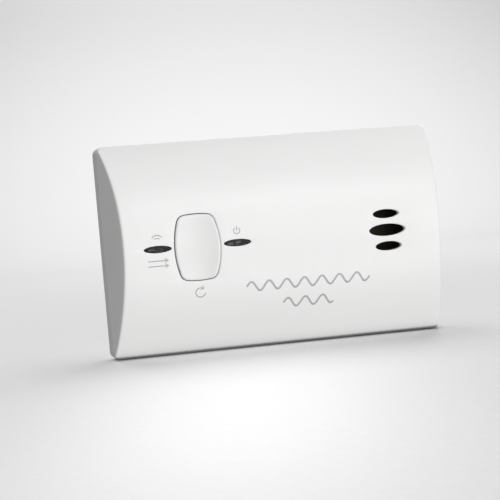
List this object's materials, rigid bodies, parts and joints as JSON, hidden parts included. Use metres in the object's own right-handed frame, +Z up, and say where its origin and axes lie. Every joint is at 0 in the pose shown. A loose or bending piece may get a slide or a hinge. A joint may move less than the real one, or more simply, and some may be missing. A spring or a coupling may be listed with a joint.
{
  "type": "carbon monoxide detector",
  "caption": "Wall-mounted battery carbon monoxide alarm with a bowed white case, test button, status windows and sound vents; back door, cells, board, horn and gas sensor inside.",
  "frame": {"origin": "on the wall face, midway between the heads of the two keyholes, 27 mm above the middle of the case", "axes": "+X along the case to the right as seen from the front, +Y into the wall, +Z up"},
  "size_m": [0.114, 0.0328, 0.07],
  "materials": {
    "case_white": "satin moulded ABS",
    "rear_white": "fine texture moulded ABS",
    "button_white": "satin moulded ABS",
    "smoked_window": "polished smoked acrylic",
    "black_nylon": "moulded",
    "red_lever": "moulded acetal",
    "red_lamp": "clear tinted epoxy",
    "green_lamp": "clear tinted epoxy",
    "laminate": "solder mask",
    "nickel": "nickel plate",
    "zinc_steel": "bright zinc plate",
    "brass": "rolled",
    "ceramic": "silvered ceramic",
    "can_metal": "drawn can",
    "cell_wrap": "printed sleeve over a can",
    "foam": "closed-cell foam",
    "copper": "enamelled wire"
  },
  "bodies": {
    "case": {"front_cover": "case_white", "rear_case": "rear_white", "switch_body": "black_nylon", "alarm_window": "smoked_window", "power_window": "smoked_window", "alarm_led": "red_lamp", "power_led": "green_lamp", "contact_spring_1": "nickel", "contact_spring_2": "nickel", "contact_spring_3": "nickel", "contact_positive": "nickel", "contact_link_left": "nickel", "contact_link_right": "nickel", "contact_negative": "nickel", "circuit_board": "laminate", "controller_chip": "black_nylon", "capacitor": "can_metal", "horn_coil": "copper", "horn_housing": "black_nylon", "horn_cap": "black_nylon", "piezo_disc": "brass", "piezo_crystal": "ceramic", "horn_gasket": "foam", "gas_sensor": "can_metal", "gas_sensor_cap": "black_nylon", "case_screw_1": "zinc_steel", "case_screw_2": "zinc_steel", "case_screw_3": "zinc_steel", "case_screw_4": "zinc_steel", "board_screw_1": "zinc_steel", "board_screw_2": "zinc_steel", "board_screw_3": "zinc_steel", "board_screw_4": "zinc_steel"},
    "button": {"test_button": "button_white", "switch_plunger": "button_white"},
    "door": {"battery_door": "rear_white"},
    "cell_1": {"battery_1": "cell_wrap"},
    "cell_2": {"battery_2": "cell_wrap"},
    "cell_3": {"battery_3": "cell_wrap"},
    "flag_1": {"battery_flag_1": "red_lever"},
    "flag_2": {"battery_flag_2": "red_lever"},
    "flag_3": {"battery_flag_3": "red_lever"}
  },
  "joints": [
    {"name": "button_press", "type": "slide", "parent": "case", "child": "button", "axis": [0, 1, 0], "range_m": [0, 0.001], "stiffness_N_per_m": 1500},
    {"name": "door_removal", "type": "slide", "parent": "case", "child": "door", "axis": [0, 1, 0], "range_m": [0, 0.04]},
    {"name": "cell_1_removal", "type": "slide", "parent": "case", "child": "cell_1", "axis": [0, 1, 0], "range_m": [0, 0.018]},
    {"name": "cell_2_removal", "type": "slide", "parent": "case", "child": "cell_2", "axis": [0, 1, 0], "range_m": [0, 0.018]},
    {"name": "cell_3_removal", "type": "slide", "parent": "case", "child": "cell_3", "axis": [0, 1, 0], "range_m": [0, 0.018]},
    {"name": "flag_1_lift", "type": "hinge", "parent": "case", "child": "flag_1", "pos_m": [-0.042, -0.01845, -0.044], "axis": [0, 0, 1], "range_deg": [0, 50]},
    {"name": "flag_2_lift", "type": "hinge", "parent": "case", "child": "flag_2", "pos_m": [-0.042, -0.01845, -0.0284], "axis": [0, 0, 1], "range_deg": [0, 50]},
    {"name": "flag_3_lift", "type": "hinge", "parent": "case", "child": "flag_3", "pos_m": [-0.042, -0.01845, -0.0128], "axis": [0, 0, 1], "range_deg": [0, 50]}
  ],
  "couplings": [
    {"joint": "cell_1_removal", "follows": "door_removal", "ratio": 0.45},
    {"joint": "cell_2_removal", "follows": "door_removal", "ratio": 0.45},
    {"joint": "cell_3_removal", "follows": "door_removal", "ratio": 0.45},
    {"joint": "flag_1_lift", "follows": "door_removal", "rad_per_m": 21.8},
    {"joint": "flag_2_lift", "follows": "door_removal", "rad_per_m": 21.8},
    {"joint": "flag_3_lift", "follows": "door_removal", "rad_per_m": 21.8}
  ]
}
